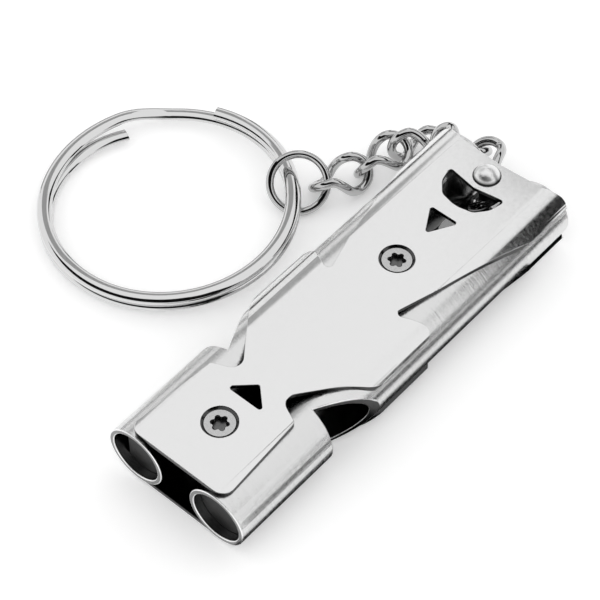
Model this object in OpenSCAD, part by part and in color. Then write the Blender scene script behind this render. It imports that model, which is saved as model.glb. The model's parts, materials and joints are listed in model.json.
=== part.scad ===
// Twin-tube survival whistle with a curb chain and a split key ring.
// Lengths are in millimetres. X runs from the mouth to the rear, Y to the left, Z up.
// The origin is under the middle of the tubes, on the surface that the whistle lies on.

/* [Tubes] */
// Length of each tube
tube_length = 48.8; // [46:0.1:56]
// Outer diameter of each tube
tube_od = 6.5; // [6:0.05:7.2]
// Wall of each tube
tube_wall = 0.5; // [0.3:0.05:0.8]
// Gap between the two tubes
tube_gap = 3.5; // [3.4:0.05:4.2]

/* [Sound windows] */
// Mouth plane to the inner corner of the window
window_x = 13.05; // [11:0.05:14]
// Tube axis to the inner corner of the window
window_depth = 0.25; // [0:0.05:1]
// Lean of the window's front cut
window_front_angle = 10; // [0:1:20]
// Slope of the window's rear cut to the tube axis
window_slope = 26; // [18:1:35]

/* [Plugs] */
// Mouth plane to the face of the fipple plug
fipple_recess = 1; // [0.4:0.1:3]
// Height of the windway between plug and bore
windway_height = 0.9; // [0.5:0.05:1.4]
// Length of the plug that stops the rear of a tube
end_plug_length = 3; // [1.5:0.1:6]
// Rear of the tube to the face of its end plug
end_plug_recess = 0.3; // [0.1:0.05:1]
// Play between a plug and the bore that holds it
plug_fit = 0.01; // [0.005:0.005:0.02]

/* [Plates] */
// Thickness of the sheet
sheet = 0.45; // [0.3:0.01:0.6]
// Play between the sheet and the tube that it wraps
sheet_fit = 0.02; // [0.01:0.01:0.05]
// How far the wings wrap round a tube, from its top
wing_wrap = 52.5; // [48:0.5:60]
// Mouth plane to the front edge of the plates
plate_front = 0.3; // [0:0.05:1]
// Depth of the shallow notch across the rear edge
rear_notch = 1.05; // [0.4:0.05:1.5]
// How far the notch has come forward at the tube axes
rear_notch_mid = 0.75; // [0.5:0.05:0.9]
// How far the tongue at the mouth reaches past the tube axes
tongue_over = 0.9; // [0.4:0.05:1.4]
// How far the tongue has drawn in at its back
tongue_draw = 0.65; // [0.3:0.05:1]
// Mouth plane to the back of the tongue
tongue_back = 10.6; // [9.8:0.05:10.9]
// Mouth plane to the deepest point of the front notch
front_notch_x = 11.92; // [11.5:0.02:12.4]
// Half the plate left between the front notches, before rounding
front_notch_half = 2.34; // [2:0.02:2.8]
// Mouth plane to the front end of the middle wings
mid_wing_front = 19.27; // [18.6:0.01:20.5]
// Rear of the tubes to the rear end of the middle wings
mid_wing_inset = 20.85; // [20:0.05:21.5]
// Rear of the tubes to the deepest point of the rear notch
rear_notch_inset = 22.9; // [22.4:0.05:23.4]
// Half the plate left between the rear notches, before rounding
rear_notch_half = 3.85; // [3.3:0.05:4.4]
// Rear of the tubes to the waist behind the rear notch
waist_inset = 17.8; // [17:0.1:19]
// How far the waist reaches past the tube axes
waist_over = 0.35; // [0.1:0.05:0.8]
// Length of the rear wings
rear_wing_length = 6; // [5:0.05:7]
// How far the rear wings' back corners slant in
rear_wing_slant = 0.9; // [0.5:0.05:1.5]
// Rounding of the tongue and of the notch across the rear edge
tongue_round = 1.2; // [0.6:0.05:1.4]
// Rounding of the plate's sharp corners
tip_round = 0.5; // [0.2:0.05:0.6]
// Rounding of the front notch
notch_round = 1.1; // [0.6:0.05:1.4]
// Rounding of the middle wings' rear end
wing_round = 0.8; // [0.4:0.05:1]
// Rounding where the wings sweep out
sweep_round = 4; // [2:0.1:5]
// Rounding of the waist
waist_round = 6; // [3:0.1:7]

/* [Cut-outs] */
// Mouth plane to the base of the front triangle
front_tri_x = 9.55; // [9:0.05:9.8]
// Half the base of the front triangle
front_tri_half = 2.27; // [1.5:0.01:2.4]
// Height of the front triangle, its tip to the rear
front_tri_height = 2.15; // [1.5:0.05:2.4]
// Rear of the tubes to the base of the rear triangle
rear_tri_inset = 9.85; // [9.3:0.05:10.8]
// Half the base of the rear triangle
rear_tri_half = 1.75; // [1.2:0.05:2.2]
// Height of the rear triangle, its tip to the front
rear_tri_height = 3.05; // [2:0.05:3.6]
// Rounding of the triangles' corners
tri_round = 0.25; // [0.05:0.05:0.4]
// Rear of the tubes to the rear corners of the lanyard slot
slot_inset = 4.65; // [4.5:0.05:5]
// Length of the lanyard slot
slot_length = 3.5; // [3:0.05:4]
// Half the width of the lanyard slot at its rear
slot_half = 3.42; // [2.8:0.02:4]
// How far the slot's rear edge bows in at the middle
slot_bow = 0.55; // [0.3:0.05:0.8]
// Rear corners of the slot to its shoulders
slot_shoulder = 1.85; // [1.5:0.05:2.2]
// How far the shoulders draw in
slot_draw = 0.42; // [0.2:0.02:0.6]
// Half the width of the slot's nose, where its sides end
slot_nose_half = 1.92; // [1.6:0.02:2.2]
// Half the width of the flat tip of the slot's nose
slot_tip_half = 0.4; // [0.2:0.02:0.6]
// Length of the slot's nose
slot_nose_length = 0.35; // [0.2:0.05:0.6]
// Rounding of the slot's rear corners
slot_corner_round = 0.3; // [0.1:0.05:0.4]
// Rounding of the slot's shoulders
slot_shoulder_round = 1.5; // [0.5:0.05:2]
// Rounding of the slot's nose
slot_nose_round = 1; // [0.5:0.05:1.2]

/* [Fasteners] */
// Mouth plane to the front screws
front_screw_x = 6.2; // [5:0.05:7]
// Rear of the tubes to the rear screws
rear_screw_inset = 17.2; // [16:0.05:18]
// Diameter of a screw head
screw_head_d = 3.1; // [2.6:0.05:3.3]
// Diameter of a screw shank
screw_shank_d = 1.9; // [1.4:0.05:2.1]
// Length of a screw under its head
screw_length = 2.2; // [1.5:0.1:2.5]
// How far a screw head lies below the plate
screw_sink = 0.2; // [0.1:0.01:0.25]
// Point to point size of the six-lobe recess
lobe_d = 1.75; // [1.4:0.05:1.9]
// Depth of the six-lobe recess
lobe_depth = 0.55; // [0.3:0.05:0.8]
// Outer diameter of the standoffs between the plates
standoff_d = 3.2; // [3.1:0.05:3.35]
// Play round screws and pin in their holes
hole_fit = 0.03; // [0.02:0.01:0.06]
// Rear of the tubes to the rear pin
pin_inset = 3.1; // [2.8:0.05:3.4]
// Diameter of the pin shank
pin_d = 1.3; // [1:0.05:1.4]
// Diameter of the pin's domed head
pin_head_d = 2.9; // [2.4:0.05:3.2]
// Height of the pin's domed head
pin_head_h = 0.95; // [0.4:0.05:1.1]
// Diameter of the pin's flush tail
pin_tail_d = 2; // [1.8:0.05:2.4]

/* [Chain] */
// Wire of the chain links
link_wire = 1; // [0.8:0.02:1.1]
// Clear length inside a link
link_inner_length = 5.2; // [5:0.02:6]
// Outer width of a link
link_width = 4.6; // [4.4:0.02:5]
// Twist of each end of a curb link
link_twist = 45; // [42:1:48]
// Half the length over which a link's wire twists
twist_half = 1.7; // [1.2:0.05:1.8]
// Gap between the first link and the tubes on both sides of it
tube_link_gap = 0.105; // [0.05:0.005:0.2]
// Gap between the first link's end and the pin
pin_link_gap = 0.05; // [0.02:0.01:0.1]
// Gap between the chain and the tube's corner that it passes
corner_gap = 0.19; // [0.15:0.01:1]

/* [Rings] */
// Wire of the jump ring
jump_wire = 0.85; // [0.6:0.02:0.9]
// Outer diameter of the jump ring
jump_od = 6.75; // [6.6:0.02:8]
// Width of the seam in the jump ring
jump_seam = 0.06; // [0.02:0.01:0.2]
// Outer diameter of the split ring
ring_od = 27; // [22:0.1:32]
// Width of the split ring's wire
ring_wire_w = 1.6; // [1.3:0.05:1.7]
// Height of the split ring's wire
ring_wire_h = 0.9; // [0.7:0.02:0.94]
// Play between the two coils
coil_fit = 0.05; // [0.03:0.01:0.1]
// Angle between the two coils' cut ends, in which the wire steps down
joggle = 47; // [30:1:60]
// Share of that angle that the step takes
step_share = 0.6; // [0.4:0.05:1]
// How far the lower coil's cut end has sprung inwards
end_spring = 1.6; // [0:0.1:2.4]
// Angle over which it has sprung
spring_turn = 80; // [40:5:120]
// Gap under the chain and the rings
rest_gap = 0.04; // [0.02:0.01:0.1]

/* [Hidden] */
$fn = 64;

// How far a cutting shape reaches past what it cuts
over = 1;

// Heights, measured from the surface that the whistle lies on
tube_r = tube_od / 2;
bore_r = tube_r - tube_wall;
wrap_r = tube_r + sheet_fit;
skin_r = wrap_r + sheet;
axis_z = skin_r;
top_z = 2 * skin_r;

// Distance between the tube axes, and plan positions of the tubes' and the wings' outer edges
tube_pitch = tube_od + tube_gap;
tube_side = tube_pitch / 2 + tube_r;
wing_y = tube_pitch / 2 + skin_r * sin(wing_wrap);

// Places along the whistle, measured from the mouth
plate_rear = tube_length - rear_notch;
rear_screw_x = tube_length - rear_screw_inset;
rear_tri_x = tube_length - rear_tri_inset;
slot_rear = tube_length - slot_inset;
slot_front = slot_rear - slot_length;
pin_x = tube_length - pin_inset;

// Countersink in the plates, a right-angled cone that a head lies in
sink_r = screw_head_d / 2 + screw_sink + hole_fit;
lobes = 6;
lobe_r = lobe_d / 8;

// Half the length and width of a link's centre line
link_a = (link_inner_length + link_wire) / 2;
link_b = (link_width - link_wire) / 2;

// Where the chain starts in the gap between the tubes: its side step and its rise over their axes
chain_side = -0.2 * link_wire;
chain_rise = 0.28 * link_wire;
chain_start = [pin_x - pin_d / 2 - pin_link_gap, chain_side, axis_z + chain_rise];
// How each link lies, from the pin on: its turn in plan from the piece before it, the share of the
// drop from the pin that is still to come at its far end, its slack in wires, and its roll
chain_lay = [
    [7.9, 0.419, 0.32, 0],
    [61.9, 0.694, 1.01, 103],
    [29.3, 0.003, -0.41, 79.5],
    [49.1, 0.291, 1.27, 46.5],
    [19.4, 0.081, 0.04, 16.5],
    [-12.3, 0.022, 0.25, 2],
];
// The link that passes the left tube's corner, and the bearing on which it must clear the corner
corner_link = 3;
pass_bearing = 58.2;
// Half the room that a link takes in plan and in height, with its ends twisted
link_half_plan = link_b * cos(link_twist) + link_wire / 2;
link_lie_z = link_b * sin(link_twist) + link_wire / 2 + rest_gap;
// The first link is flat, and tilted as far as the gap between the tubes asks for
pin_link_tilt = acos(
    (pow(tube_pitch / 2, 2) + pow(link_b, 2) - pow(tube_r + link_wire / 2 + tube_link_gap, 2))
    / (tube_pitch * link_b)
);

// The jump ring: its turn from the last link, its slack in it, its tilt and the way it faces
jump_turn = -23.8;
jump_slack = 0.953 * jump_wire;
jump_tilt = 39.5;
jump_face = 65.2;
jump_mean_r = (jump_od - jump_wire) / 2;
// The split ring: its turn from the last link, how far it hangs in the jump ring, its lean on that
// ring's wire, and the angle of its upper coil's cut end
ring_turn = -15.7;
ring_hang = 0.406 * ring_wire_w;
ring_lean = 2.4;
ring_end = 20;
ring_mean_r = (ring_od - ring_wire_w) / 2;

function unit(v) = v / norm(v);
function flip_y(p) = [p.x, -p.y, p.z];

// Half the width of a flat that two mirrored points leave on the middle line
middle = 0.01;

// A corner [x, y, radius] between its neighbours, as the points of its arc
function corner(a, b, c, steps = 8) =
    let (at = [b.x, b.y])
    let (u = unit([a.x, a.y] - at))
    let (v = unit([c.x, c.y] - at))
    let (half = acos(u * v) / 2)
    let (mid = at + unit(u + v) * b.z / sin(half))
    let (start = at + u * b.z / tan(half) - mid)
    let (turn = -sign(cross(u, v)) * (180 - 2 * half))
    b.z == 0 ? [at] : [
        for (k = [0:steps])
        let (w = turn * k / steps)
        mid + [start.x * cos(w) - start.y * sin(w), start.x * sin(w) + start.y * cos(w)]
    ];

// A closed outline whose corners are rounded
function rounded(pts) =
    let (n = len(pts))
    [for (i = [0:n - 1]) each corner(pts[(i + n - 1) % n], pts[i], pts[(i + 1) % n])];

// An outline that is the same on both sides of the middle line
function both_sides(half) =
    concat(half, [for (i = [len(half) - 1:-1:0]) flip_y(half[i])]);

module from_mouth(x = 0, z = 0) {
    translate([x - tube_length / 2, 0, z])
        children();
}

// Turns what is built for the top or the left over to the other side
module turned_over() {
    translate([0, 0, top_z])
        mirror([0, 0, 1])
            children();
}

module other_side() {
    mirror([0, 1, 0])
        children();
}

// The left tube's axis
module along_left_tube() {
    translate([-tube_length / 2, tube_pitch / 2, axis_z])
        rotate([0, 90, 0])
            children();
}

// Plan of a plate: tongue, front notch, middle wing, rear notch, rear wing
module plate_plan() {
    tube_y = tube_pitch / 2;
    half = [
        [plate_front, tube_y + tongue_over, tongue_round],
        [tongue_back, tube_y + tongue_over - tongue_draw, tip_round],
        [front_notch_x, front_notch_half, notch_round],
        [mid_wing_front, wing_y, sweep_round],
        [tube_length - mid_wing_inset, wing_y, wing_round],
        [tube_length - rear_notch_inset, rear_notch_half, tip_round],
        [tube_length - waist_inset, tube_y + waist_over, waist_round],
        [tube_length - rear_wing_length, wing_y, sweep_round],
        [tube_length, wing_y, tip_round],
        [tube_length, wing_y - rear_wing_slant, tip_round],
        [tube_length - rear_notch_mid, tube_y, tongue_round],
        [plate_rear, middle, 0],
    ];
    polygon(rounded(both_sides(half)));
}

module triangle_plan(x, half, height) {
    polygon(rounded([
        [x, half, tri_round],
        [x, -half, tri_round],
        [x + height, 0, tri_round],
    ]));
}

module slot_plan() {
    polygon(rounded(both_sides([
        [slot_rear - slot_bow, middle, 0],
        [slot_rear, slot_half, slot_corner_round],
        [slot_rear - slot_shoulder, slot_half - slot_draw, slot_shoulder_round],
        [slot_front + slot_nose_length, slot_nose_half, slot_nose_round],
        [slot_front, slot_tip_half, slot_nose_round],
    ])));
}

// Section across a plate: flat between the tube tops, then wrapped over both tubes
module plate_section() {
    reach = 2 * skin_r;
    translate([-tube_pitch / 2, wrap_r])
        square([tube_pitch, sheet]);
    for (side = [0, 1])
        mirror([side, 0])
            translate([tube_pitch / 2, 0])
                intersection() {
                    difference() {
                        circle(skin_r);
                        circle(wrap_r);
                    }
                    polygon([
                        [0, 0],
                        [0, reach],
                        [reach * tan(wing_wrap), reach],
                    ]);
                }
}

module plate() {
    difference() {
        intersection() {
            from_mouth(-over, axis_z)
                rotate([90, 0, 90])
                    linear_extrude(tube_length + 2 * over)
                        plate_section();
            from_mouth(0, axis_z)
                linear_extrude(skin_r + over)
                    plate_plan();
        }
        from_mouth(0, axis_z)
            linear_extrude(skin_r + over) {
                triangle_plan(front_tri_x, front_tri_half, front_tri_height);
                triangle_plan(rear_tri_x, rear_tri_half, -rear_tri_height);
                slot_plan();
            }
        for (x = [front_screw_x, rear_screw_x])
            from_mouth(x, top_z - sink_r)
                cylinder(h = sink_r, r1 = 0, r2 = sink_r);
        from_mouth(pin_x, axis_z)
            cylinder(h = skin_r + over, d = pin_d + 2 * hole_fit);
    }
}

module top_plate() {
    color("Gainsboro")
        plate();
}

// The lower stamping is the upper one turned over, with the pin's tail sunk flush in it
module bottom_plate() {
    tail_r = pin_tail_d / 2 + hole_fit;
    color("Gainsboro")
        difference() {
            turned_over()
                plate();
            from_mouth(pin_x)
                cylinder(h = tail_r, r1 = tail_r, r2 = 0);
        }
}

// Plan of the wedge that opens the window in the outer side of the left tube
module window_plan() {
    out = tube_r + over;
    run = out - window_depth;
    polygon([
        [window_x, window_depth],
        [window_x - run * tan(window_front_angle), out],
        [window_x + run / tan(window_slope), out],
    ]);
}

module tube() {
    difference() {
        along_left_tube()
            cylinder(h = tube_length, r = tube_r);
        along_left_tube()
            translate([0, 0, -over])
                cylinder(h = tube_length + 2 * over, r = bore_r);
        from_mouth(0, axis_z - tube_r - over)
            translate([0, tube_pitch / 2, 0])
                linear_extrude(tube_od + 2 * over)
                    window_plan();
    }
}

module left_tube() {
    color("Silver")
        tube();
}

module right_tube() {
    color("Silver")
        other_side()
            tube();
}

// A round plug with a flat on its outer side, which leaves the windway
module fipple_plug() {
    length = window_x - fipple_recess - (windway_height + bore_r) * tan(window_front_angle);
    difference() {
        along_left_tube()
            translate([0, 0, fipple_recess])
                cylinder(h = length, r = bore_r - plug_fit);
        from_mouth(0, axis_z - tube_r)
            translate([0, tube_pitch / 2 + bore_r - windway_height, 0])
                cube([window_x, tube_od, tube_od]);
    }
}

module left_fipple_plug() {
    color("Black")
        fipple_plug();
}

module right_fipple_plug() {
    color("Black")
        other_side()
            fipple_plug();
}

module end_plug() {
    along_left_tube()
        translate([0, 0, tube_length - end_plug_recess - end_plug_length])
            cylinder(h = end_plug_length, r = bore_r - plug_fit);
}

module left_end_plug() {
    color("Black")
        end_plug();
}

module right_end_plug() {
    color("Black")
        other_side()
            end_plug();
}

// A threaded spacer, countersunk at both ends like the plates above and below it
module standoff(x) {
    bore = screw_shank_d / 2 + hole_fit;
    difference() {
        from_mouth(x, sheet)
            cylinder(h = top_z - 2 * sheet, d = standoff_d);
        from_mouth(x)
            cylinder(h = top_z, r = bore);
        from_mouth(x)
            cylinder(h = sink_r, r1 = sink_r, r2 = 0);
        from_mouth(x, top_z - sink_r)
            cylinder(h = sink_r, r1 = 0, r2 = sink_r);
    }
}

module front_standoff() {
    color("DarkGray")
        standoff(front_screw_x);
}

module rear_standoff() {
    color("DarkGray")
        standoff(rear_screw_x);
}

// A flat countersunk screw, with its six-lobe recess
module screw(x) {
    head_r = screw_head_d / 2;
    face = top_z - screw_sink;
    shank_r = screw_shank_d / 2;
    cone = head_r - shank_r;
    difference() {
        union() {
            from_mouth(x, face - cone)
                cylinder(h = cone, r1 = shank_r, r2 = head_r);
            from_mouth(x, face - cone - screw_length)
                cylinder(h = screw_length, r = shank_r);
        }
        from_mouth(x, face - lobe_depth)
            cylinder(h = lobe_depth + over, r = lobe_d / 2 - lobe_r);
        for (k = [1:lobes])
            from_mouth(x, face - lobe_depth)
                rotate(k * 360 / lobes)
                    translate([lobe_d / 2 - lobe_r, 0, 0])
                        cylinder(h = lobe_depth + over, r = lobe_r);
    }
}

module top_front_screw() {
    color("LightGray")
        screw(front_screw_x);
}

module top_rear_screw() {
    color("LightGray")
        screw(rear_screw_x);
}

module bottom_front_screw() {
    color("LightGray")
        turned_over()
            screw(front_screw_x);
}

module bottom_rear_screw() {
    color("LightGray")
        turned_over()
            screw(rear_screw_x);
}

// A rivet with a domed head above the top plate and a tail flush with the bottom plate
module rear_pin() {
    head_r = pin_head_d / 2;
    dome_r = (head_r * head_r + pin_head_h * pin_head_h) / (2 * pin_head_h);
    tail_r = pin_tail_d / 2;
    color("WhiteSmoke") {
        from_mouth(pin_x)
            cylinder(h = top_z, d = pin_d);
        from_mouth(pin_x)
            cylinder(h = tail_r, r1 = tail_r, r2 = 0);
        intersection() {
            from_mouth(pin_x, top_z + pin_head_h - dome_r)
                sphere(dome_r);
            from_mouth(pin_x, top_z)
                cylinder(h = pin_head_h, r = head_r + over);
        }
    }
}

// Centre line of a flat link as [along, across], anticlockwise from its far end
function link_loop(arc_steps = 8, side_steps = 4) =
    let (s = link_a - link_b)
    concat(
        [for (k = [0:arc_steps - 1])
            let (w = -90 + 180 * k / arc_steps)
            [s + link_b * cos(w), link_b * sin(w)]],
        [for (k = [0:side_steps - 1]) [s - 2 * s * k / side_steps, link_b]],
        [for (k = [0:arc_steps - 1])
            let (w = 90 + 180 * k / arc_steps)
            [-s + link_b * cos(w), link_b * sin(w)]],
        [for (k = [0:side_steps - 1]) [-s + 2 * s * k / side_steps, -link_b]]
    );

// Tilt of the link's plane at a place along it, from one end's tilt to the other's
function tilt_at(along, near, far) =
    let (w = min(1, max(-1, along / twist_half)))
    (near + far) / 2 + (far - near) / 2 * sin(90 * w);

// Triangles that close the skin between rings of points, as a loop or with capped ends
function skin_faces(rings, sides, looped) =
    let (spans = looped ? rings : rings - 1)
    concat(
        [for (i = [0:spans - 1]) for (j = [0:sides - 1])
            let (a = i * sides + j)
            let (b = i * sides + (j + 1) % sides)
            let (c = (i + 1) % rings * sides + (j + 1) % sides)
            let (d = (i + 1) % rings * sides + j)
            each [[a, b, c], [a, c, d]]],
        looped ? [] : [
            [for (j = [sides - 1:-1:0]) j],
            [for (j = [0:sides - 1]) (rings - 1) * sides + j],
        ]
    );

// A link between two points of the route, its plane tilted at each end
module link(from, to, near, far, sides = 8) {
    ahead = unit(to - from);
    across = unit(cross([0, 0, 1], ahead));
    up = cross(ahead, across);
    loop = link_loop();
    rings = len(loop);
    line = [
        for (p = loop)
        let (w = tilt_at(p.x, near, far))
        (from + to) / 2 + p.x * ahead + p.y * (cos(w) * across + sin(w) * up)
    ];
    points = [
        for (i = [0:rings - 1])
        let (t = unit(line[(i + 1) % rings] - line[(i + rings - 1) % rings]))
        let (w = tilt_at(loop[i].x, near, far))
        let (n0 = cos(w) * up - sin(w) * across)
        let (n = unit(n0 - (n0 * t) * t))
        let (m = cross(t, n))
        for (j = [0:sides - 1])
        line[i] + link_wire / 2 * (cos(360 * j / sides) * n + sin(360 * j / sides) * m)
    ];
    from_mouth()
        polyhedron(points, skin_faces(rings, sides, true));
}

// A step in plan, by its length and its heading
function stride(run, heading) = run * [cos(heading), sin(heading)];

// Height of the chain at the far end of link k
function chain_z(k) =
    k == 0 ? chain_start.z : link_lie_z + chain_lay[k - 1][1] * (chain_start.z - link_lie_z);

// Length of link k in plan, from where it is held to where it holds the next piece
function link_run(k) =
    let (length = link_inner_length - chain_lay[k - 1][2] * link_wire)
    sqrt(pow(length, 2) - pow(chain_z(k) - chain_z(k - 1), 2));

// Greatest heading at which link k's far end is still clear of the left tube's rear corner
function passing(k) =
    let (from = chain_point(k - 1))
    let (past = [from.x - tube_length, from.y - tube_side] * stride(1, pass_bearing))
    pass_bearing + acos((link_half_plan + corner_gap - past) / link_run(k));

function link_heading(k) =
    let (before = k == 1 ? 0 : link_heading(k - 1))
    let (heading = before + chain_lay[k - 1][0])
    k == corner_link ? min(heading, passing(k)) : heading;

// Point where link k meets the piece after it, or where the first link meets the pin, from the mouth
function chain_point(k) =
    k == 0 ? chain_start :
    let (before = chain_point(k - 1))
    let (step = stride(link_run(k), link_heading(k)))
    [before.x + step.x, before.y + step.y, chain_z(k)];

// The links after the first are curb links
module chain_link(k) {
    roll = k == 1 ? -pin_link_tilt : chain_lay[k - 1][3];
    twist = k == 1 ? 0 : link_twist;
    color("Silver")
        link(chain_point(k - 1), chain_point(k), roll - twist, roll + twist);
}

module chain_link_1() { chain_link(1); }
module chain_link_2() { chain_link(2); }
module chain_link_3() { chain_link(3); }
module chain_link_4() { chain_link(4); }
module chain_link_5() { chain_link(5); }
module chain_link_6() { chain_link(6); }

chain_end = chain_point(len(chain_lay));
end_heading = link_heading(len(chain_lay));

// Centre of the jump ring, which lies on the ground with its wire in the last link
function jump_at() =
    let (z = jump_mean_r * sin(jump_tilt) + jump_wire / 2 + rest_gap)
    let (run = sqrt(pow(jump_mean_r - jump_slack, 2) - pow(z - chain_end.z, 2)))
    let (step = stride(run, end_heading + jump_turn))
    [chain_end.x + step.x, chain_end.y + step.y, z];

module jump_ring() {
    seam = jump_seam / jump_mean_r * 180 / PI;
    color("Silver")
        from_mouth()
            translate(jump_at())
                rotate([0, jump_tilt, end_heading + jump_face])
                    rotate_extrude(angle = 360 - seam)
                        translate([jump_mean_r, 0])
                            circle(d = jump_wire, $fn = 32);
}

// Height of the split ring's wire along its two turns: upper coil, step, lower coil
function coil_z(turned) =
    let (step = (ring_wire_h + coil_fit) / 2)
    let (w = (turned - (360 - joggle)) / (step_share * joggle))
    w <= 0 ? step : w >= 1 ? -step : step * cos(180 * w);

// Mean radius of the split ring's wire along its two turns, with the lower end sprung inwards
function coil_r(turned) =
    let (w = (turned - (720 - joggle - spring_turn)) / spring_turn)
    ring_mean_r - end_spring * pow(max(0, w), 2);

module split_ring() {
    heading = end_heading + ring_turn;
    at = jump_at();
    step = stride(ring_mean_r + ring_hang, heading);
    lift = ring_wire_h + coil_fit / 2 + ring_od / 2 * sin(ring_lean) + rest_gap;
    whole = 720 - joggle;
    rings = 74;
    // Flattened wire section with bevelled edges, as [outward, up]
    bevel = 0.55;
    section = [
        for (q = [[1, bevel], [bevel, 1], [-bevel, 1], [-1, bevel],
                  [-1, -bevel], [-bevel, -1], [bevel, -1], [1, -bevel]])
        [q.x * ring_wire_w / 2, q.y * ring_wire_h / 2]
    ];
    points = [
        for (i = [0:rings - 1])
        let (turned = whole * i / (rings - 1))
        let (w = ring_end - turned)
        let (r = coil_r(turned))
        for (q = section)
        [(r + q.x) * cos(w), (r + q.x) * sin(w), coil_z(turned) + q.y]
    ];
    color("Silver")
        from_mouth()
            translate([at.x + step.x, at.y + step.y, lift])
                rotate(heading)
                    rotate([0, ring_lean, 0])
                        rotate(-heading)
                            polyhedron(points, skin_faces(rings, len(section), false));
}

top_plate();
bottom_plate();
left_tube();
right_tube();
left_fipple_plug();
right_fipple_plug();
left_end_plug();
right_end_plug();
front_standoff();
rear_standoff();
top_front_screw();
top_rear_screw();
bottom_front_screw();
bottom_rear_screw();
rear_pin();
chain_link_1();
chain_link_2();
chain_link_3();
chain_link_4();
chain_link_5();
chain_link_6();
jump_ring();
split_ring();
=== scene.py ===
import json
import math
import bpy
import bmesh
import numpy as np
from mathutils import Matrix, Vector


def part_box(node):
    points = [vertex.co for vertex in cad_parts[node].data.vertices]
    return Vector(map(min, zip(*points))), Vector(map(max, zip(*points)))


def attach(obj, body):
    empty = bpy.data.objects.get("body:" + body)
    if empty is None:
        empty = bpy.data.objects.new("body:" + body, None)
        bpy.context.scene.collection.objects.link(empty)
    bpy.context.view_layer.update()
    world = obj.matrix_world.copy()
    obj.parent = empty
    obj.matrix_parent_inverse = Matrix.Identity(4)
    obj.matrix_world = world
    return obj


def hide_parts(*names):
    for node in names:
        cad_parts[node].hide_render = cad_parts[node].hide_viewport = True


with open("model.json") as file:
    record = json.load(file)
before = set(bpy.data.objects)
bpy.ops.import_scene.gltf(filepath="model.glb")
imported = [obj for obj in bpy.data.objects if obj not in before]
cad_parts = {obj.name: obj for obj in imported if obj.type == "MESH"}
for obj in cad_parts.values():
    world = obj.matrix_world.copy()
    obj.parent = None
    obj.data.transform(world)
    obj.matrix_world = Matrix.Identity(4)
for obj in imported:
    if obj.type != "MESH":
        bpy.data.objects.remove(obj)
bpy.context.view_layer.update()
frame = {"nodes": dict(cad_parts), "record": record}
mm = 0.001


def linear(hexCode):
    # sRGB hex to linear colour
    s = np.array([int(hexCode[i:i + 2], 16) / 255 for i in (1, 3, 5)])
    lin = np.where(s <= 0.04045, s / 12.92, ((s + 0.055) / 1.055) ** 2.4)
    return (*lin, 1.0)


def unit(v):
    v = np.asarray(v, float)
    return v / np.linalg.norm(v, axis=-1, keepdims=True)


def addObject(name, data):
    thing = bpy.data.objects.new(name, data)
    bpy.context.scene.collection.objects.link(thing)
    return thing


# Camera
cameraView = {
    "azimuth": -49.026,  # degrees, from the right of the mouth
    "elevation": 51.842,
    "target": (-0.566, 5.642, 3.72),  # mm
    "distance": 211.198,  # mm
    "lens": 130.37,  # mm
    "sensor": 36,  # mm
    "clip": (0.01, 20),  # m
}


def addCamera(view):
    a, e = math.radians(view["azimuth"]), math.radians(view["elevation"])
    back = Vector((math.sin(a) * math.cos(e), -math.cos(a) * math.cos(e), math.sin(e)))
    data = bpy.data.cameras.new("camera")
    data.lens = view["lens"]
    data.sensor_width = view["sensor"]
    data.clip_start, data.clip_end = view["clip"]
    camera = addObject("camera", data)
    camera.location = (Vector(view["target"]) + back * view["distance"]) * mm
    camera.rotation_mode = "QUATERNION"
    camera.rotation_quaternion = (-back).to_track_quat("-Z", "Y")
    bpy.context.scene.camera = camera


addCamera(cameraView)


# Materials

def addNode(tree, kind, inputs=None, **settings):
    # inputs: socket to a value, or to (node, output)
    node = tree.nodes.new(kind)
    for key, value in settings.items():
        setattr(node, key, value)
    for socket, source in (inputs or {}).items():
        if isinstance(source, tuple) and isinstance(source[0], bpy.types.Node):
            tree.links.new(source[0].outputs[source[1]], node.inputs[socket])
        else:
            node.inputs[socket].default_value = source
    return node


def newMaterial(name):
    material = bpy.data.materials.new(name)
    material.use_nodes = True
    material.node_tree.nodes.clear()
    return material, material.node_tree


def finishMaterial(material, shader):
    addNode(material.node_tree, "ShaderNodeOutputMaterial", {"Surface": (shader, 0)})
    return material


def addNoise(tree, size, shape):
    # Noise in object coordinates, its largest lumps about size mm across
    place = addNode(tree, "ShaderNodeTexCoord")
    return addNode(tree, "ShaderNodeTexNoise", {
        "Vector": (place, "Object"), "Scale": 1 / (size * mm), **shape})


def addGloss(tree, noise, f):
    # The finish's band of noise values becomes its two roughnesses
    return addNode(tree, "ShaderNodeMapRange", {
        "Value": (noise, 0), "From Min": f["band"][0], "From Max": f["band"][1],
        "To Min": f["roughness"][0], "To Max": f["roughness"][1]})


def addTwoTone(tree, share, f):
    # The finish's colour, and its painted shade colour where the share is 1
    return addNode(tree, "ShaderNodeMix", {
        0: share, 6: linear(f["colour"]), 7: linear(f["inside"])}, data_type="RGBA")


plateFinish = {
    "colour": "#E6E6E6",
    "inside": "#4A4A4A",  # painted shade on the cut edges and inner faces, which also keep their duller blanked finish
    "roughness": (0.13, 0.20), "band": (0.35, 0.65),
    "mottle": 0.35,  # mm, tumbling marks
    "grain": 0.12,  # mm, stone marks, drawn coarser than they are so that they show
    "height": 0.0006,  # mm
}


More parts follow.
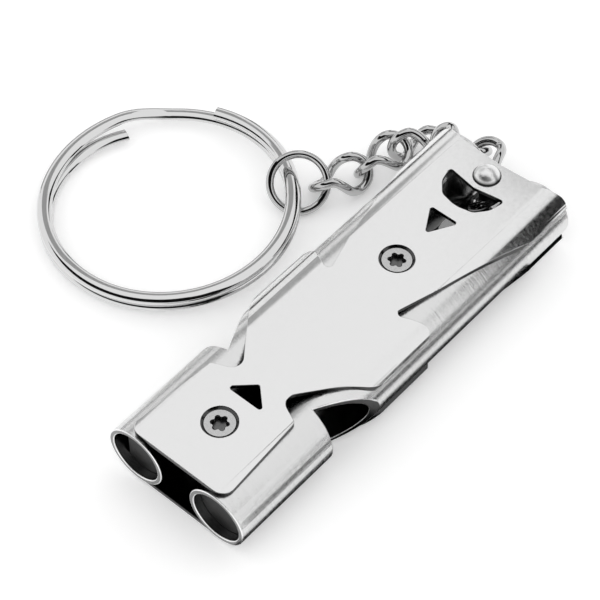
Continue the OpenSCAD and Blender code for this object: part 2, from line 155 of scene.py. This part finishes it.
def stainlessTumbled(f):
    # Stainless sheet, blanked and tumbled: an even satin mirror with a faint orange peel
    material, tree = newMaterial("stainlessTumbled")
    mottle = addNoise(tree, f["mottle"], {"Detail": 3.0, "Roughness": 0.6})
    grain = addNoise(tree, f["grain"], {"Detail": 2.0})
    gloss = addGloss(tree, mottle, f)
    bump = addNode(tree, "ShaderNodeBump", {
        "Height": (grain, 0), "Strength": 1.0, "Distance": f["height"] * mm})
    # painted shade: the cut edges and inner faces, where the plates face the tubes and each
    # other, are darker
    rawAndShade = addNode(tree, "ShaderNodeAttribute", attribute_name="rawAndShade")
    colour = addTwoTone(tree, (rawAndShade, "Fac"), f)
    shader = addNode(tree, "ShaderNodeBsdfPrincipled", {
        "Base Color": (colour, 2), "Metallic": 1.0,
        "Roughness": (gloss, 0), "Normal": (bump, 0)})
    return finishMaterial(material, shader)


tubeFinish = {
    "colour": "#DEDEDE",
    "inside": "#4C4C4C",  # painted shade on the bore, the window's cuts, the ends and the side towards the other tube, with the cuts as sawn and the bore as drawn
    "roughness": (0.15, 0.26), "band": (0.3, 0.7),
    "line": 0.2,  # mm between belt marks, drawn coarser than they are so that they show
    "run": 5.0,  # mm that a mark runs round the tube
    "grain": 0.26,  # mm, broken ends of the marks
    "height": (0.014, 0.014),  # mm, of marks and grain
    "anisotropy": 0.6,
}


def stainlessBelted(f):
    # Drawn stainless tube, belt polished while it turned: fine marks run round it and
    # smear reflections along it
    material, tree = newMaterial("stainlessBelted")
    place = addNode(tree, "ShaderNodeTexCoord")
    fine, long = (1 / (f[key] * mm) for key in ("line", "run"))
    stretch = addNode(tree, "ShaderNodeMapping", {
        "Vector": (place, "Object"), "Scale": (fine, long, long)})
    marks = addNode(tree, "ShaderNodeTexNoise", {
        "Vector": (stretch, 0), "Scale": 1.0, "Detail": 3.0, "Roughness": 0.65})
    gloss = addGloss(tree, marks, f)
    grain = addNoise(tree, f["grain"], {"Detail": 4.0, "Roughness": 0.7})
    broken = addNode(tree, "ShaderNodeBump", {
        "Height": (grain, 0), "Strength": 1.0, "Distance": f["height"][1] * mm})
    bump = addNode(tree, "ShaderNodeBump", {
        "Height": (marks, 0), "Strength": 1.0, "Distance": f["height"][0] * mm,
        "Normal": (broken, 0)})
    around = addNode(tree, "ShaderNodeTangent", direction_type="RADIAL", axis="X")
    # painted shade in the bore, between the tubes and on the cut faces
    rawAndShade = addNode(tree, "ShaderNodeAttribute", attribute_name="rawAndShade")
    colour = addTwoTone(tree, (rawAndShade, "Fac"), f)
    shader = addNode(tree, "ShaderNodeBsdfPrincipled", {
        "Base Color": (colour, 2), "Metallic": 1.0, "Anisotropic": f["anisotropy"],
        "Roughness": (gloss, 0), "Normal": (bump, 0), "Tangent": (around, 0)})
    return finishMaterial(material, shader)


screwFinish = {
    "colour": "#C6C6C6",
    "inside": "#6A6A6A",  # painted shade in the recess, and on the standoffs between the plates
    "depth": (0.05, 0.3),  # mm below the face, where that begins and is full
    "roughness": (0.24, 0.36), "band": (0.3, 0.7),
    "grain": 0.25,  # mm
}
# the rivet's dark colour is painted shade round the foot of its dome, where it meets the plate
pinFinish = {**screwFinish, "colour": "#F0F0F0", "inside": "#303030", "roughness": (0.30, 0.36)}


def stainlessHeaded(name, f):
    # Cold-headed stainless, passivated: a soft satin, brighter on the rivet's hammered dome
    material, tree = newMaterial(name)
    grain = addNoise(tree, f["grain"], {"Detail": 3.0})
    gloss = addGloss(tree, grain, f)
    # painted shade, darker with depth below the face: the screws' recesses, the standoffs
    # between the plates, the foot of the rivet's dome
    depth = addNode(tree, "ShaderNodeAttribute", attribute_name="depth")
    inside = addNode(tree, "ShaderNodeMapRange", {
        "Value": (depth, "Fac"), "From Min": f["depth"][0], "From Max": f["depth"][1]})
    colour = addTwoTone(tree, (inside, 0), f)
    shader = addNode(tree, "ShaderNodeBsdfPrincipled", {
        "Base Color": (colour, 2), "Metallic": 1.0, "Roughness": (gloss, 0)})
    return finishMaterial(material, shader)


platingFinish = {
    "colour": "#DADADA", "roughness": (0.035, 0.09), "band": (0.35, 0.65),
    "haze": 0.6,  # mm
}
chainFinish = {**platingFinish, "colour": "#C2C2C2"}  # barrel plated, so thinner and darker
edgeFinish = {**platingFinish, "colour": "#F4F4F4", "roughness": (0.24, 0.36), "haze": 0.25}
edgeShadeFinish = {**edgeFinish, "colour": "#262626"}  # painted shade on the screws' broken edges: the dark ring of the countersink gap, and the recesses' edges


def evenMetal(name, f):
    # One metal all over. Bright nickel plating on drawn wire is a near mirror with faint
    # handling haze, and deburred stainless edges are a soft satin
    material, tree = newMaterial(name)
    haze = addNoise(tree, f["haze"], {"Detail": 4.0})
    gloss = addGloss(tree, haze, f)
    shader = addNode(tree, "ShaderNodeBsdfPrincipled", {
        "Base Color": linear(f["colour"]), "Metallic": 1.0, "Roughness": (gloss, 0)})
    return finishMaterial(material, shader)


plugFinish = {
    "colour": "#121212", "roughness": (0.42, 0.58), "band": (0.0, 1.0),
    "grain": 0.2,  # mm
    "ior": 1.53,
}


def absMoulded(f):
    # Black ABS, moulded and then cut flat: dull, with a fine grain
    material, tree = newMaterial("absMoulded")
    grain = addNoise(tree, f["grain"], {"Detail": 3.0})
    gloss = addGloss(tree, grain, f)
    shader = addNode(tree, "ShaderNodeBsdfPrincipled", {
        "Base Color": linear(f["colour"]), "IOR": f["ior"], "Roughness": (gloss, 0)})
    return finishMaterial(material, shader)


sheetSteel = stainlessTumbled(plateFinish)
tubeSteel = stainlessBelted(tubeFinish)
screwSteel = stainlessHeaded("stainlessHeaded", screwFinish)
pinSteel = stainlessHeaded("stainlessRiveted", pinFinish)
edgeSteel = evenMetal("stainlessDeburred", edgeFinish)
edgeShadeSteel = evenMetal("stainlessEdgeShade", edgeShadeFinish)
plating = evenMetal("nickelPlated", platingFinish)
chainPlating = evenMetal("nickelBarrelPlated", chainFinish)
blackAbs = absMoulded(plugFinish)
print("materials:", len(bpy.data.materials))


# Pieces

def addPiece(name, mesh, material, body, slot, *nodes):
    piece = addObject(name, mesh)
    mesh.materials.clear()
    mesh.materials.append(material)
    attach(piece, body)
    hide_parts(*nodes)
    return piece


def slotOf(node):
    return next(s["material_slot"] for s in frame["record"]["subparts"] if s["node"] == node)


def readVectors(items, key):
    v = np.empty(len(items) * 3)
    items.foreach_get(key, v)
    return v.reshape(-1, 3)


def writeValues(mesh, name, domain, values):
    mesh.attributes.new(name, "FLOAT", domain).data.foreach_set("value", values.ravel())


def printFit(node, points):
    # How far the surface's box is off the box of the solid that it replaces
    low, high = (np.array(c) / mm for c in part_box(node))
    off = max(abs(points.min((0, 1)) - low).max(), abs(points.max((0, 1)) - high).max())
    print(node, "off the frame by", round(float(off), 3), "mm")


def gridMesh(name, points, closeU=True, closeV=True, caps=False):
    # points[u, v] in mm become a skin of quads, joined round where a direction closes
    nu, nv = points.shape[:2]
    index = np.arange(nu * nv).reshape(nu, nv)
    rows = index if closeU else index[:-1]
    ahead = np.roll(index, -1, 0) if closeU else index[1:]
    a, d = rows, ahead
    b, c = np.roll(rows, -1, 1), np.roll(ahead, -1, 1)
    if not closeV:
        a, b, c, d = (q[:, :-1] for q in (a, b, c, d))
    faces = np.stack([a, b, c, d], -1).reshape(-1, 4).tolist()
    if caps:
        faces += [index[0, ::-1].tolist(), index[-1].tolist()]
    mesh = bpy.data.meshes.new(name)
    mesh.from_pydata((points.reshape(-1, 3) * mm).tolist(), [], faces)
    mesh.polygons.foreach_set("use_smooth", np.ones(len(faces), bool))
    mesh.update()
    return mesh


# Sheet plates, tubes, plugs, standoffs and screws: the CAD shapes with their edges broken
brokenEdges = {  # mm
    "top_plate": 0.05, "bottom_plate": 0.05,
    "left_tube": 0.09, "right_tube": 0.09,
    "left_fipple_plug": 0.08, "right_fipple_plug": 0.08,
    "left_end_plug": 0.12, "right_end_plug": 0.12,
    "front_standoff": 0.08, "rear_standoff": 0.08,
    "top_front_screw": 0.06, "top_rear_screw": 0.06,
    "bottom_front_screw": 0.06, "bottom_rear_screw": 0.06,
}
breaking = {
    "angle": 32,  # degrees, edges sharper than this are broken
    "flat": 0.3,  # degrees, faces flatter than this are joined
    "weld": 0.0005,  # mm
    "segments": 2,
}
finishes = {
    "plate": sheetSteel, "tube": tubeSteel, "plug": blackAbs,
    "standoff": screwSteel, "screw": screwSteel,
}
edges = {"tube": edgeSteel, "screw": edgeShadeSteel}  # where a broken edge looks unlike the rest
whistle = {  # mm
    "axisZ": 3.72, "pitch": 10.0,
    "sheetOut": 3.72,  # from the axes to the plates' outer skin
    "skin": 0.03,  # faces deeper than this were cut, or are inner ones
    "screwFace": 3.52,
}
tubeFaces = {
    "end": 0.95, "round": 0.9, "inner": 0.6,  # cosines that tell the kinds of face apart
    "rawAndShade": (0.75, 0.6, 1.0, 0.8),  # shares of painted shade, and of the raw finish of cut and drawn faces: ends, bore, window's cuts, side towards the other tube
}


def rawAndShadedPlateFaces(mesh):
    # 1 on faces below the outer skin, which take painted shade together with their blanked
    # finish. Depth is out - |z| between the tube axes and out - |(y, z)| beyond them, measured
    # from the axes
    c = readVectors(mesh.polygons, "center") / mm
    beyond = np.maximum(np.abs(c[:, 1]) - whistle["pitch"] / 2, 0)
    depth = whistle["sheetOut"] - np.hypot(beyond, c[:, 2] - whistle["axisZ"])
    return np.where(depth > whistle["skin"], 1.0, 0.0)


def rawAndShadedTubeFaces(mesh):
    # A share of painted shade for each kind of face, with the raw finish of the cut and drawn
    # ones, 0 on the rest of the polished outside
    t = tubeFaces
    n = readVectors(mesh.polygons, "normal")
    c = readVectors(mesh.polygons, "center") / mm
    side = np.sign(c[:, 1])
    radial = np.stack([c[:, 1] - side * whistle["pitch"] / 2, c[:, 2] - whistle["axisZ"]], -1)
    outward = (n[:, 1:] * unit(radial)).sum(-1)
    kinds = [np.abs(n[:, 0]) > t["end"], outward < -t["round"], outward < t["round"],
             n[:, 1] * side < -t["inner"]]
    return np.select(kinds, list(t["rawAndShade"]), 0.0)


def screwDepths(mesh):
    # How far each point lies below the screws' outer faces
    h = readVectors(mesh.vertices, "co")[:, 2] / mm - whistle["axisZ"]
    return whistle["screwFace"] - np.abs(h)


def brokenCopy(node, width):
    kind = node.rsplit("_", 1)[1]
    angle = math.radians(breaking["angle"])
    source = bmesh.new()
    source.from_mesh(frame["nodes"][node].data)
    bmesh.ops.remove_doubles(source, verts=source.verts, dist=breaking["weld"] * mm)
    bmesh.ops.dissolve_limit(source, angle_limit=math.radians(breaking["flat"]),
                             verts=source.verts, edges=source.edges)
    mesh = bpy.data.meshes.new(node + "_dressed")
    source.to_mesh(mesh)
    source.free()
    mesh.polygons.foreach_set("use_smooth", np.ones(len(mesh.polygons), bool))
    mesh.set_sharp_from_angle(angle=angle)
    if kind == "plate":
        writeValues(mesh, "rawAndShade", "FACE", rawAndShadedPlateFaces(mesh))
    elif kind == "tube":
        writeValues(mesh, "rawAndShade", "FACE", rawAndShadedTubeFaces(mesh))
    elif kind != "plug":
        writeValues(mesh, "depth", "POINT", screwDepths(mesh))
    piece = addPiece(node + "_dressed", mesh, finishes[kind], "whistle", slotOf(node), node)
    bevel = piece.modifiers.new("edge", "BEVEL")
    if kind in edges:
        mesh.materials.append(edges[kind])
        bevel.material = 1
    bevel.width = width * mm
    bevel.segments = breaking["segments"]
    bevel.limit_method = "ANGLE"
    bevel.angle_limit = angle
    bevel.use_clamp_overlap = False
    normals = piece.modifiers.new("normals", "WEIGHTED_NORMAL")
    normals.keep_sharp = True


for node, width in brokenEdges.items():
    brokenCopy(node, width)
print("dressed:", len(brokenEdges), "rigid nodes")


# Rivet
rivet = {  # mm and degrees
    "shank": 1.3, "head": 2.9, "dome": 0.95, "lip": 0.12, "tail": 2.0,
    "ease": (0.02, 0.01),  # under the head's rim, and above the tail's end
    "pole": 0.004,  # capped opening at both ends, on the dome in radians
    "shadeBelow": 0.5,  # below the top, where painted shade begins and darkens the dome towards the plate
    "rows": 20, "turns": 64, "sharp": 40,
}


def revolve(profile, steps, at):
    # A profile [radius, height] turned round a vertical axis: (r cos w, r sin w, h)
    w = np.arange(steps) / steps * 2 * np.pi
    r, h = profile[:, :1], profile[:, 1:]
    return np.stack([at[0] + r * np.cos(w), at[1] + r * np.sin(w), at[2] + h + 0 * w], -1)


def addRivet(r):
    # Dome (R sin t, top - R + R cos t), with R from the head's width and height
    low, high = (np.array(c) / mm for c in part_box("rear_pin"))
    at = np.array([*(low + high)[:2] / 2, 0.0])
    headR, shankR, tailR = r["head"] / 2, r["shank"] / 2, r["tail"] / 2
    topFace = high[2] - r["dome"]
    domeR = (headR ** 2 + r["dome"] ** 2) / (2 * r["dome"])
    t = np.linspace(r["pole"], math.asin((headR - r["lip"] / 2) / domeR), r["rows"])
    cap = np.stack([domeR * np.sin(t), high[2] - domeR + domeR * np.cos(t)], -1)
    rim = [[headR, topFace + r["lip"] / 2], [headR - r["ease"][0], topFace], [shankR, topFace]]
    tail = [[shankR, tailR - shankR], [tailR, r["ease"][1]], [r["pole"], 0.0]]
    profile = np.concatenate([cap, rim, tail])
    points = revolve(profile[::-1], r["turns"], at)
    mesh = gridMesh("rear_pin_dressed", points, closeU=False, caps=True)
    # painted shade round the foot of the dome
    writeValues(mesh, "depth", "POINT", np.maximum(high[2] - points[..., 2] - r["shadeBelow"], 0))
    mesh.set_sharp_from_angle(angle=math.radians(r["sharp"]))
    addPiece("rear_pin_dressed", mesh, pinSteel, "whistle", slotOf("rear_pin"), "rear_pin")


addRivet(rivet)


# Chain
chain = {  # mm and degrees
    "wire": 1.0, "inner": 5.2, "width": 4.6, "twist": 45.0, "twistHalf": 1.7,
    "start": (20.6, -0.2, 4.0),
    "lie": 1.8128,  # height of a link that lies on the floor
    # turn in plan, share of the drop still to come, slack, roll
    "lay": ((7.9, 0.419, 0.32, -41.99), (61.9, 0.694, 1.01, 103), (29.3, 0.003, -0.41, 79.5),
            (49.1, 0.291, 1.27, 46.5), (19.4, 0.081, 0.04, 16.5), (-12.3, 0.022, 0.25, 2)),
    "steps": 96, "sides": 24,
}


def chainPoints(c):
    points, heading = [np.array(c["start"])], 0.0
    for turn, share, slack, roll in c["lay"]:
        heading += turn
        z = c["lie"] + share * (c["start"][2] - c["lie"])
        fall = z - points[-1][2]
        run = math.sqrt((c["inner"] - slack) ** 2 - fall ** 2)
        w = math.radians(heading)
        points.append(points[-1] + np.array([run * math.cos(w), run * math.sin(w), fall]))
    return points, heading


def sweep(line, normals, section):
    # A section [along normal, along binormal] carried along a line
    tangent = unit(np.roll(line, -1, 0) - np.roll(line, 1, 0))
    n = unit(normals - (normals * tangent).sum(-1, keepdims=True) * tangent)
    b = np.cross(tangent, n)
    return line[:, None] + section[None, :, :1] * n[:, None] + section[None, :, 1:] * b[:, None]


def linkSurface(c, start, end, near, far):
    # Stadium (x, y) by arc length, its plane turned about the chain by a tilt that goes from
    # near to far as near + (far - near) (1 + sin(90 x / twistHalf)) / 2
    a, b = (c["inner"] + c["wire"]) / 2, (c["width"] - c["wire"]) / 2
    half, arc = a - b, np.pi * b
    s = np.arange(c["steps"]) / c["steps"] * (4 * half + 2 * arc)
    far1, far2, far3 = arc, arc + 2 * half, 2 * arc + 2 * half
    parts = [s < far1, s < far2, s < far3]
    w = np.where(s < far1, s / b - np.pi / 2, (s - far2) / b + np.pi / 2)
    x = np.select(parts, [half + b * np.cos(w), half - (s - far1), -half + b * np.cos(w)],
                  -half + (s - far3))
    y = np.select(parts, [b * np.sin(w), b + 0 * s, b * np.sin(w)], -b)
    swing = np.sin(np.pi / 2 * np.clip(x / c["twistHalf"], -1, 1))
    tilt = np.radians((near + far) / 2 + (far - near) / 2 * swing)
    ahead = unit(end - start)
    across = unit(np.cross([0, 0, 1.0], ahead))
    up = np.cross(ahead, across)
    side = np.cos(tilt)[:, None] * across + np.sin(tilt)[:, None] * up
    line = (start + end) / 2 + x[:, None] * ahead + y[:, None] * side
    normals = np.cos(tilt)[:, None] * up - np.sin(tilt)[:, None] * across
    v = np.arange(c["sides"]) / c["sides"] * 2 * np.pi
    section = c["wire"] / 2 * np.stack([np.cos(v), np.sin(v)], -1)
    return sweep(line, normals, section)


def addLink(c, k, start, end):
    node, roll = f"chain_link_{k}", c["lay"][k - 1][3]
    twist = c["twist"] if k > 1 else 0  # the first link is flat
    points = linkSurface(c, start, end, roll - twist, roll + twist)
    mesh = gridMesh(node + "_wire", points)
    addPiece(node + "_wire", mesh, chainPlating, node, slotOf(node), node)
    printFit(node, points)


route, endHeading = chainPoints(chain)
for k in range(1, len(route)):
    addLink(chain, k, route[k - 1], route[k])


# Jump ring
jump = {  # mm and degrees
    "wire": 0.85, "od": 6.75, "seam": 0.06,
    "turn": -23.8, "slack": 0.81, "tilt": 39.5, "face": 65.2, "rest": 0.04,
    "steps": 120, "sides": 24, "sharp": 60,
}


def jumpFrame(j):
    r, tilt = (j["od"] - j["wire"]) / 2, math.radians(j["tilt"])
    z = r * math.sin(tilt) + j["wire"] / 2 + j["rest"]
    run = math.sqrt((r - j["slack"]) ** 2 - (z - route[-1][2]) ** 2)
    w, face = math.radians(endHeading + j["turn"]), math.radians(endHeading + j["face"])
    at = np.array([route[-1][0] + run * math.cos(w), route[-1][1] + run * math.sin(w), z])
    level = math.cos(tilt)
    u = np.array([level * math.cos(face), level * math.sin(face), -math.sin(tilt)])
    v = np.array([-math.sin(face), math.cos(face), 0.0])
    return at, u, v, r


def addJumpRing(j):
    # Circle (r cos w, r sin w) in the ring's own plane, cut through at its seam
    at, u, v, r = jumpFrame(j)
    gap = j["seam"] / r
    w = np.linspace(0, 2 * np.pi - gap, j["steps"])[:, None]
    out = np.cos(w) * u + np.sin(w) * v
    axis = np.cross(u, v)
    a = np.arange(j["sides"]) / j["sides"] * 2 * np.pi
    points = at + out[:, None] * (r + j["wire"] / 2 * np.cos(a))[None, :, None] \
        + axis * (j["wire"] / 2 * np.sin(a))[None, :, None]
    mesh = gridMesh("jump_ring_wire", points[:, ::-1], closeU=False, caps=True)
    mesh.set_sharp_from_angle(angle=math.radians(j["sharp"]))
    addPiece("jump_ring_wire", mesh, chainPlating, "jump_ring", slotOf("jump_ring"), "jump_ring")
    return at


jumpAt = addJumpRing(jump)


# Split ring
splitRing = {  # mm and degrees
    "od": 27.0, "wireW": 1.6, "wireH": 0.9, "fit": 0.05, "end": 20.0,
    "joggle": 47.0, "stepShare": 0.6,  # gap between the cut ends, and the part that steps down
    "spring": 1.6, "springTurn": 80.0,  # the lower cut end has sprung inwards
    "turn": -15.7, "hang": 0.65, "lean": 2.4, "rest": 0.04,
    "steps": 420, "sides": 28, "square": 1.9, "sharp": 50,
}


def addSplitRing(s):
    # Two turns of flattened wire: (r + p cos, r + p sin, coil height), where p is a superellipse
    # |x / a|^n + |y / b|^n = 1
    r = (s["od"] - s["wireW"]) / 2
    heading, lean = math.radians(endHeading + s["turn"]), math.radians(s["lean"])
    ahead = np.array([math.cos(heading), math.sin(heading), 0])
    left = np.array([-math.sin(heading), math.cos(heading), 0])
    z = s["wireH"] + s["fit"] / 2 + s["od"] / 2 * math.sin(lean) + s["rest"]
    at = np.array([*(jumpAt + (r + s["hang"]) * ahead)[:2], z])
    turned = np.linspace(0, 720 - s["joggle"], s["steps"])
    part = np.clip((turned - 360 + s["joggle"]) / (s["stepShare"] * s["joggle"]), 0, 1)
    coilZ = (s["wireH"] + s["fit"]) / 2 * np.cos(np.pi * part)
    sprung = np.clip((turned - 720 + s["joggle"]) / s["springTurn"] + 1, 0, 1)
    coilR = r - s["spring"] * sprung ** 2
    w = np.radians(s["end"] - turned)
    a = np.arange(s["sides"]) / s["sides"] * 2 * np.pi
    power = 2 / s["square"]
    out = s["wireW"] / 2 * np.sign(np.cos(a)) * np.abs(np.cos(a)) ** power
    up = s["wireH"] / 2 * np.sign(np.sin(a)) * np.abs(np.sin(a)) ** power
    rr = coilR[:, None] + out[None]
    flat = np.stack([rr * np.cos(w)[:, None], rr * np.sin(w)[:, None],
                     coilZ[:, None] + up[None]], -1)
    local = np.stack([flat @ ahead, flat @ left, flat[..., 2]], -1)
    tilted = np.array([math.cos(lean) * ahead + [0, 0, -math.sin(lean)], left,
                       math.sin(lean) * ahead + [0, 0, math.cos(lean)]])
    points = at + local @ tilted
    mesh = gridMesh("split_ring_wire", points, closeU=False, caps=True)
    mesh.set_sharp_from_angle(angle=math.radians(s["sharp"]))
    addPiece("split_ring_wire", mesh, plating, "split_ring", slotOf("split_ring"), "split_ring")
    printFit("split_ring", points)


addSplitRing(splitRing)


# Studio
studio = {
    "floor": "#F7F7F7", "floorSize": 0.9,  # m
    "lift": 0.2,  # glow that takes the floor to white where it is seen
    "sky": 1.0,
}


def addFloor(s):
    material, tree = newMaterial("floorPaper")
    ray = addNode(tree, "ShaderNodeLightPath")
    seen = addNode(tree, "ShaderNodeMath", {
        0: (ray, "Is Camera Ray"), 1: (ray, "Is Glossy Ray")}, operation="MAXIMUM")
    lift = addNode(tree, "ShaderNodeMath", {0: (seen, 0), 1: s["lift"]}, operation="MULTIPLY")
    paper = addNode(tree, "ShaderNodeBsdfDiffuse", {"Color": linear(s["floor"])})
    glow = addNode(tree, "ShaderNodeEmission", {"Strength": (lift, 0)})
    both = addNode(tree, "ShaderNodeAddShader", {0: (paper, 0), 1: (glow, 0)})
    finishMaterial(material, both)
    h = s["floorSize"] / 2
    mesh = bpy.data.meshes.new("floor")
    mesh.from_pydata([(-h, -h, 0), (h, -h, 0), (h, h, 0), (-h, h, 0)], [], [(0, 1, 2, 3)])
    mesh.materials.append(material)
    addObject("floor", mesh)


def addSky(s):
    world = bpy.data.worlds.new("studio")
    world.use_nodes = True
    world.node_tree.nodes.clear()
    sky = addNode(world.node_tree, "ShaderNodeBackground", {
        "Color": (1, 1, 1, 1), "Strength": s["sky"]})
    addNode(world.node_tree, "ShaderNodeOutputWorld", {"Surface": (sky, 0)})
    bpy.context.scene.world = world


flags = {  # mm and degrees
    "colour": "#161616", "radius": 160.0, "steps": 180, "rows": 24,
    "thin": 0.01,  # the wall's height where its foot is above its top
    # bearing from +X and the elevation of the wall's top there, then of its foot
    "top": ((-80, 44), (-70, 10), (-48, 10), (-38, 44), (26, 44), (38, 8), (88, 8), (100, 46),
            (130, 62), (148, 84), (268, 84), (279, 46)),
    "foot": ((-73, 36), (-71, 0), (-48, 0), (-43, 32), (30, 32), (34, 0), (88, 0), (92, 36)),
    "card": (((37, -47.6, 10), (64, -47.6, 10)), ((57, -47.6, 78), (90, -47.6, 78))),
    # strips along the right tube, which draw its dark lines: an upright one beside it, and a
    # flat one on the floor under it that is a painted shadow, seen only in reflections.
    # x from and to, then y and z of both edges
    "strips": ((-20, 31, (-17, 0), (-17, 3.6)), (-26, 20, (-10.4, 0.05), (-6.6, 0.05))),
    "grey": {"colour": "#AFAFAF", "bearing": (44, 82), "elevation": (26, 47),
             "radius": 165.0, "steps": 12, "rows": 8},
}


def domePoints(radius, bearing, elevation):
    # radius (cos e cos b, cos e sin b, sin e)
    b, e = np.radians(bearing), np.radians(elevation)
    points = [np.cos(e) * np.cos(b), np.cos(e) * np.sin(b), np.sin(e) + 0 * b]
    return radius * np.stack(points, -1)


def addCard(name, points, colour, closed=False):
    # A card that only reflections see
    material, tree = newMaterial(name + "Paper")
    paper = addNode(tree, "ShaderNodeBsdfDiffuse", {"Color": linear(colour)})
    finishMaterial(material, paper)
    mesh = gridMesh(name, points, closeU=closed, closeV=False)
    mesh.materials.append(material)
    card = addObject(name, mesh)
    card.visible_camera = False
    card.visible_diffuse = False
    card.visible_shadow = False


def addFlags(f):
    # A black wall round the object, open below where the plates would else go black and low
    # where the two side lights stand, a black card close to the rear, and a grey one on the left
    w = np.arange(f["steps"]) / f["steps"] * 360
    top, foot = (np.interp(w, *np.array(f[key], float).T, period=360)[:, None]
                 for key in ("top", "foot"))
    rise = foot + np.linspace(0, 1, f["rows"]) * np.maximum(top - foot, f["thin"])
    addCard("horizon", domePoints(f["radius"], w[:, None], rise), f["colour"], True)
    addCard("sideCard", np.array(f["card"], float), f["colour"])
    for x0, x1, near, far in f["strips"]:
        points = [[(x0, *near), (x1, *near)], [(x0, *far), (x1, *far)]]
        addCard("strip", np.array(points, float), f["colour"])
    g = f["grey"]
    across = np.linspace(*g["bearing"], g["steps"])[:, None]
    up = np.linspace(*g["elevation"], g["rows"])
    addCard("leftCard", domePoints(g["radius"], across, up), g["colour"])


addFloor(studio)
addSky(studio)
addFlags(flags)
bpy.context.scene.view_settings.view_transform = "Standard"
print("studio ready")
